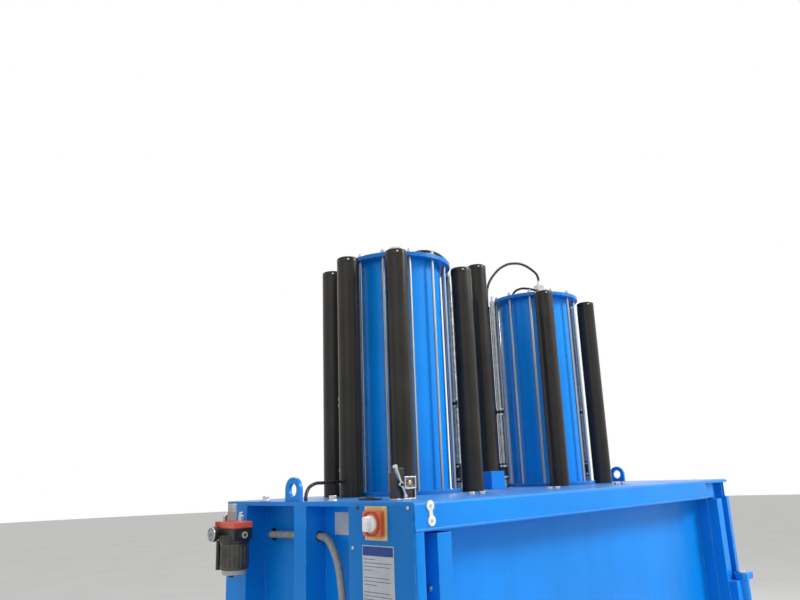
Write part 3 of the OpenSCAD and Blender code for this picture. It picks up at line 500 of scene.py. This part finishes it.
def hose(name, node, points, diameter, material):
    line = bpy.data.curves.new(name, "CURVE")
    line.dimensions = "3D"
    line.bevel_depth = diameter / 2 / millimetres
    line.bevel_resolution = 5
    line.resolution_u = 8
    line.use_fill_caps = True
    run = line.splines.new("BEZIER")
    run.bezier_points.add(len(points) - 1)
    for knot, point in zip(run.bezier_points, points):
        knot.co = [c / millimetres for c in point]
        knot.handle_left_type = knot.handle_right_type = "AUTO"
    line.materials.append(material)
    made = bpy.data.objects.new(name, line)
    bpy.context.scene.collection.objects.link(made)
    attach(made, "frame")
    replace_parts(made, node)


def from_cap(side, points):
    across, back, up = [c * millimetres for c in (side * cylinder_x, cylinder_y, head_top)]
    return [(across + x, back + y, up + z) for x, y, z in points]


wide, thin, thick = 11, 10, 20
pipe_x = pipe_reach * millimetres * cos(pipe_turn)
pipe_y = pipe_reach * millimetres * sin(pipe_turn)
hose("loop_hose_run", "loop_hose", from_cap(1, [
    (24, -24, 98.3), (24, -24, 108.3), (18, -21, 129), (-2, -12, 148), (-45, 8, 171),
    (-85, 27, 173), (-126, 46, 161), (-181, 71, 112), (-pipe_x - 11, -pipe_y + 13, 52),
    (-pipe_x - 16, -pipe_y + 16, 0), (-pipe_x - 16, -pipe_y + 16, -795.7)]), wide, hose_black)
hose("cap_hose_left_run", "cap_hose_left", from_cap(-1, [
    (39.6, -18.6, 54), (48.1, -27.1, 54), (81.6, -48.6, 67), (125, -70, 66), (160, -72, 60),
    (pipe_x - 4, pipe_y - 2, 36), (pipe_x, pipe_y, 22.3), (pipe_x, pipe_y, 10.3)]),
    wide, hose_black)
hose("cap_hose_right_run", "cap_hose_right", from_cap(1, [
    (-45, 75, 24.3), (-45, 75, 36), (-44, 64, 54), (-38, 34, 64), (-30, 4, 60), (-22, -16, 53),
    (-12, -24, 50), (0.3, -24, 50)]), thin, hose_black)
hose("deck_hose_run", "deck_hose", [
    (-910, 47, 1600.3), (-910, 47, 1612.3), (-896.9, 55.1, 1630.3), (-868, 72.9, 1642.2),
    (-778.7, 128.1, 1647.2), (-694.7, 180, 1648), (-661.4, 209.2, 1648), (-647.4, 209.2, 1648)],
    thin, hose_black)
hose_grey = rubber("hose_grey", (0.30, 0.30, 0.27))
bay_x, bay_z = -892, 1506
hose("bay_hose_run", "bay_hose", [
    (-873, 265, bay_z - 4), (-886, 245, bay_z - 3), (bay_x + 4, 203, bay_z - 1),
    (bay_x, 153, bay_z), (bay_x, 72, bay_z), (bay_x, -2, bay_z - 1), (bay_x - 3, -26, bay_z - 5),
    (bay_x - 8, -59, bay_z - 30), (bay_x - 13, -85, bay_z - 67), (bay_x - 15, -99, bay_z - 115),
    (bay_x - 16, -105, bay_z - 150), (bay_x - 17, -109, bay_z - 240),
    (bay_x - 14, -109, bay_z - 370), (bay_x - 4, -108, bay_z - 440), (-884, -107, bay_z - 472),
    (-873, -107, bay_z - 480)], thick, hose_grey)

# Control box: a folded box in the front side bay, with a flat cover on zinc screws and a plug in
# the cover's spare hole. A white card with plain grey rules is stuck on the cover, and a small
# blank one on the skin beside it.
dressed("control_box", blue_paint, 0.001)
cover_paint = enamel("cover_paint", (0.001, 0.185, 0.58), 0.30, 0.46)
dressed("control_cover", cover_paint, 0.0006)
cover_face, cover_front, cover_rear = -0.9425, -0.387, -0.189
slot_turn = Matrix.Rotation(1.1, 4, "Z")
screws = bmesh.new()
for y, z in ((cover_front, 1.586), (cover_rear, 1.489), (cover_rear, 1.25), (cover_rear, 1.01),
             (cover_front, 1.30), (cover_front, 1.01)):
    place = Matrix.Translation((cover_face, y, z)) @ to_left
    join(screws, disc(0.0048, 0.0024, 24, 0.0008, 0.0040), place)
    slot = slab((0.006, 0.0012, 0.0008), (0, 0, 0.0023), 0.0002, 1)
    join(screws, slot, place @ slot_turn)
piece("cover_screws", screws, zinc, "frame")
spare_hole = Matrix.Translation((cover_face, -0.2096, 1.5855)) @ to_left
plug = bmesh.new()
join(plug, disc(0.0050, 0.0012, 24), spare_hole)
piece("cover_hole_plug", plug, black_plastic, "frame")

card_white = plastic("card_white", (0.50, 0.54, 0.59), 0.35, 0.5, 0.15)
card_blue = plastic("card_blue", (0.003, 0.045, 0.27), 0.3, 0.45, 0.05)
card_thickness, card_y = 0.0008, -0.2798
card = bmesh.new()
join(card, slab((card_thickness, 0.1110, 0.1700),
                (cover_face - card_thickness / 2, card_y, 1.4130), 0.0003, 1))
piece("cover_card", card, card_white, "frame")
band = bmesh.new()
join(band, slab((0.0006, 0.1066, 0.0215), (cover_face - 0.0010, card_y, 1.4848), 0.0002, 1))
piece("cover_card_band", band, card_blue, "frame")
rules = bmesh.new()
card_grey = plastic("card_grey", (0.16, 0.18, 0.24), 0.4, 0.55, 0.1)
rule_x, rule_left, rule_top, rule_step = cover_face - 0.0009, -0.2300, 1.4660, 0.0083
reaches = (0.040, 0.096, 0.090, 0.030, 0, 0.088, 0.094, 0.046, 0, 0.092, 0.097, 0.060, 0.086, 0,
           0.094, 0.090, 0.052)
for i, reach in enumerate(reaches):
    if reach:
        middle = (rule_x, rule_left - reach / 2, rule_top - i * rule_step)
        join(rules, slab((0.0004, reach, 0.0017), middle, 0, 1))
piece("cover_card_rules", rules, card_grey, "frame")
bay_card = bmesh.new()
join(bay_card, slab((card_thickness, 0.084, 0.059), (-0.8704, -0.074, 1.5398), 0.0003, 1))
piece("bay_card", bay_card, card_white, "frame")

# Isolator: a moulded rotary switch on the cover, with a cream backing plate on four screws, a red
# housing with a raised rim, and a white turning handle with a notched grip.
cream_plate = plastic("cream_plate", (0.70, 0.50, 0.22), 0.35, 0.5, 0.3)
dressed("isolator_plate", cream_plate, 0.0016)
red_plastic = plastic("red_plastic", (0.74, 0.13, 0.035), 0.28, 0.42, 0.2)
dressed("isolator_housing", red_plastic, 0.0022)
isolator_y, isolator_z = -0.279, 1.550
isolator = Vector((-0.9615, isolator_y, isolator_z))
housing_face = Matrix.Translation(isolator) @ to_left
rim = bmesh.new()
ring = [(0.0262, 0), (0.0290, 0), (0.0290, 0.0020), (0.0282, 0.0028), (0.0270, 0.0028),
        (0.0262, 0.0020), (0.0262, 0)]
join(rim, turned(ring, 56), housing_face)
dark_red = plastic("dark_red", (0.34, 0.045, 0.015), 0.3, 0.45, 0.2)
piece("isolator_rim", rim, dark_red, "frame")
plate_screws = bmesh.new()
for dy in (-0.033, 0.033):
    for dz in (-0.0345, 0.0345):
        place = Matrix.Translation((-0.9475, isolator_y + dy, isolator_z + dz)) @ to_left
        join(plate_screws, disc(0.0030, 0.0012, 20, 0.0004), place)
piece("isolator_plate_screws", plate_screws, zinc, "frame")
handle = bmesh.new()
clear_of_rim = Vector((-0.0003, 0, 0))
base = [(0, 0.0084), (0.0175, 0.0084), (0.0192, 0.0078), (0.0200, 0.0062), (0.0200, 0), (0, 0)]
join(handle, turned(base, 64), Matrix.Translation(isolator + clear_of_rim) @ to_left)
grip_shoulder = 0.012
grip = slab((0.0370, 0.0150, 0.0175), (0, 0, 0.0160), 0.0032, 4)
bmesh.ops.scale(grip, vec=(0.92, 0.86, 1), verts=[v for v in grip.verts if v.co.z > grip_shoulder])
join(handle, grip, housing_face)
notch_step = 0.0070
for step in range(-2, 3):
    notch = slab((0.0022, 0.0172, 0.0120), (step * notch_step, 0, 0.0150), 0.0009)
    join(handle, notch, housing_face)
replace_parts(piece("isolator_handle", handle, white_plastic, "isolator_knob"),
            "isolator_knob")

# Position switch at the near corner of the deck: a bent zinc bracket, a black switch block and a
# lever with a roller at its tip.
dressed("switch_bracket", zinc, 0.001)
dressed("switch_body", black_plastic, 0.0018)
dressed("switch_lever", zinc, 0.001, 35)
terminals = bmesh.new()
join(terminals, slab((0.036, 0.022, 0.0200), (-0.825, -0.2650, 1.6145), 0.0015))
piece("switch_terminals", terminals, black_plastic, "frame")
terminal_face = Matrix.Translation((-0.823, -0.2772, 1.6420)) @ to_front
screw = bmesh.new()
join(screw, disc(0.0072, 0.0030, 6, 0.0008), terminal_face)
piece("switch_screw", screw, bush_brass, "frame")

# Air filter and regulator: a moulded black body on a blue bracket, with a red cover, a ribbed
# bowl of smoked plastic, a grey turning knob and zinc fittings. The round gauge's case is set
# back by the height of the ring in front of it, so that the ring ends where the case did.
dressed("filter_bracket", blue_paint, 0.0012)
dressed("filter_body", black_plastic, 0.0022, 35)
cover_red = plastic("cover_red", (0.72, 0.10, 0.055), 0.3, 0.45, 0.3)
dressed("filter_cover", cover_red, 0.0022)


def smoked(name):
    material, tree, shader = surface(name)
    tone = between(tree, cloud(tree, 20, 4), (0.040, 0.038, 0.030), (0.085, 0.080, 0.065))
    grain = (cloud(tree, 30, 3), cloud(tree, 500, 1))
    set_finish(tree, shader, tone, 0.16, 0.30, *grain, 0.04, 0.0002)
    return material


dressed("filter_bowl", smoked("filter_bowl_smoke"), 0.001, 35)
grey_plastic = plastic("grey_plastic", (0.46, 0.48, 0.43))
dressed("regulator_knob", grey_plastic, 0.0012, 35)
ring_height, dial_radius = 0.0024, 0.0178
case_face, near_face = -1.056, 0.0005
gauge_case = dressed("pressure_gauge", black_plastic, 0.001, 35)
for vert in gauge_case.data.vertices:
    if vert.co.x < case_face + near_face:
        vert.co.x += ring_height
gauge = Matrix.Translation((case_face + ring_height, 0.304, 1.514)) @ to_left
bezel = bmesh.new()
ring = [(dial_radius, -0.001), (0.0208, -0.001), (0.0208, 0.0012), (0.0198, ring_height),
        (0.0184, 0.0022), (dial_radius, 0.0004), (dial_radius, -0.001)]
join(bezel, turned(ring, 48), gauge)
piece("gauge_bezel", bezel, zinc, "frame")
dial_grey = plastic("dial_grey", (0.34, 0.36, 0.38), 0.2, 0.35, 0.3)
dial = bmesh.new()
join(dial, disc(dial_radius, 0.0006, 48, 0), gauge)
piece("gauge_dial", dial, dial_grey, "frame")
first_mark, mark_step, needle_turn = 225, 27, Matrix.Rotation(radians(120), 4, "Z")
marks = bmesh.new()
for step in range(11):
    turn = gauge @ Matrix.Rotation(radians(first_mark - mark_step * step), 4, "Z")
    join(marks, slab((0.0030, 0.0008, 0.0004), (0.0148, 0, 0.0007), 0, 1), turn)
needle = slab((0.0150, 0.0010, 0.0005), (0.0045, 0, 0.0011), 0, 1)
join(marks, needle, gauge @ needle_turn)
join(marks, disc(0.0022, 0.0014, 20, 0.0003), gauge)
piece("gauge_marks", marks, black_plastic, "frame")
dressed("air_inlet", zinc, 0.001, 35)
filter_x = -1.002
for name, place, profile, steps, material, slot in (
        ("filter_plug", Matrix.Translation((filter_x, 0.2100, 1.5120)) @ to_front,
         [(0.0045, 0), (0.0045, 0.0014), (0.0088, 0.0014), (0.0095, 0.0006), (0.0095, 0),
          (0.0045, 0)], 32, grey_plastic, "grey_plastic"),
        ("bowl_ring", Matrix.Translation((filter_x, 0.2620, 1.4046)),
         [(0.0336, 0.0004), (0.0347, 0), (0.0347, 0.0118), (0.0336, 0.0124), (0.0336, 0.0004)],
         48, grey_plastic, "grey_plastic"),
        ("drop_tube", Matrix.Translation((-1.016, 0.3270, 1.4130)),
         [(0.0060, 0), (0.0068, 0.0006), (0.0068, 0.0800), (0.0060, 0.0806), (0.0060, 0)],
         24, hose_black, "hose_black")):
    trim = bmesh.new()
    join(trim, turned(profile, steps), place)
    piece(name, trim, material, "frame")

# Doors: trays of folded sheet with hat stiles and ribs behind, hung on turned knuckles. Their
# pins are zinc-plated, and black latches turn on studs at the left stile.
for door in ("loading_door", "bale_door"):
    dressed(door, blue_paint, 0.0012)
dressed("hinge_pins", zinc, 0.001, 35)
for latch in ("loading_latch", "bale_latch"):
    dressed(latch, black_plastic, 0.0014, 35)
dressed("latch_keepers", blue_paint, 0.001)

# Floor, light and camera: a plain pale floor under a white background, soft light from the front
# right, and the camera at eye height in front of the left corner.
floor_radius = 40
floor = bmesh.new()
bmesh.ops.create_circle(floor, cap_ends=True, segments=96, radius=floor_radius)
mesh = bpy.data.meshes.new("floor")
floor.to_mesh(mesh)
floor.free()
floor_paint, tree, shader = surface("floor_paint")
tone = between(tree, cloud(tree, 1.5, 4), (0.72, 0.72, 0.71), (0.76, 0.76, 0.75))
set_finish(tree, shader, tone, 0.6, 0.8, cloud(tree, 3, 2), cloud(tree, 60, 2), 0.05, 0.001)
mesh.materials.append(floor_paint)
ground = bpy.data.objects.new("floor", mesh)
bpy.context.scene.collection.objects.link(ground)

world = bpy.data.worlds.new("studio")
bpy.context.scene.world = world
world.use_nodes = True
tree = world.node_tree
rays = add(tree, "LightPath").outputs
seen = rays["Is Camera Ray"]
for kind in ("Is Glossy Ray", "Is Transmission Ray"):
    seen = add(tree, "Math", {0: seen, 1: rays[kind]}, operation="MAXIMUM").outputs[0]
strength = add(tree, "MapRange", {"Value": seen, "To Min": 0.62, "To Max": 1.0})
back = tree.nodes["Background"]
back.inputs["Color"].default_value = (1, 1, 1, 1)
tree.links.new(strength.outputs[0], back.inputs["Strength"])


def lamp(name, spot, aim, size, power):
    light = bpy.data.lights.new(name, "AREA")
    light.shape = "RECTANGLE"
    light.size, light.size_y = size
    light.energy = power
    made = bpy.data.objects.new(name, light)
    bpy.context.scene.collection.objects.link(made)
    made.location = spot
    made.rotation_euler = (Vector(aim) - Vector(spot)).to_track_quat("-Z", "Y").to_euler()


lamp("key", (3.4, -4.6, 6.0), (0, 0, 1.6), (2.2, 2.2), 420)
lamp("fill", (-5.0, -2.0, 4.4), (0, 0, 1.4), (4, 4), 30)
lamp("rim", (4.2, 3.8, 4.6), (0, 0, 1.7), (2.2, 3), 200)

eye = (-2.1405, -1.5753, 1.6609)
yaw, pitch, roll = radians(45.19), radians(14.22), radians(-2.02)
ahead = Vector((sin(yaw) * cos(pitch), cos(yaw) * cos(pitch), sin(pitch)))
right = Vector((cos(yaw), -sin(yaw), 0))
above = right.cross(ahead)
side = right * cos(roll) + above * sin(roll)
top = above * cos(roll) - right * sin(roll)
view = bpy.data.cameras.new("camera")
view.lens = 31.12
view.sensor_width = 36
view.clip_end = 200
camera = bpy.data.objects.new("camera", view)
bpy.context.scene.collection.objects.link(camera)
turn = Matrix((side, top, -ahead)).transposed()
camera.matrix_world = Matrix.Translation(eye) @ turn.to_4x4()
bpy.context.scene.camera = camera
bpy.context.scene.view_settings.view_transform = "Standard"
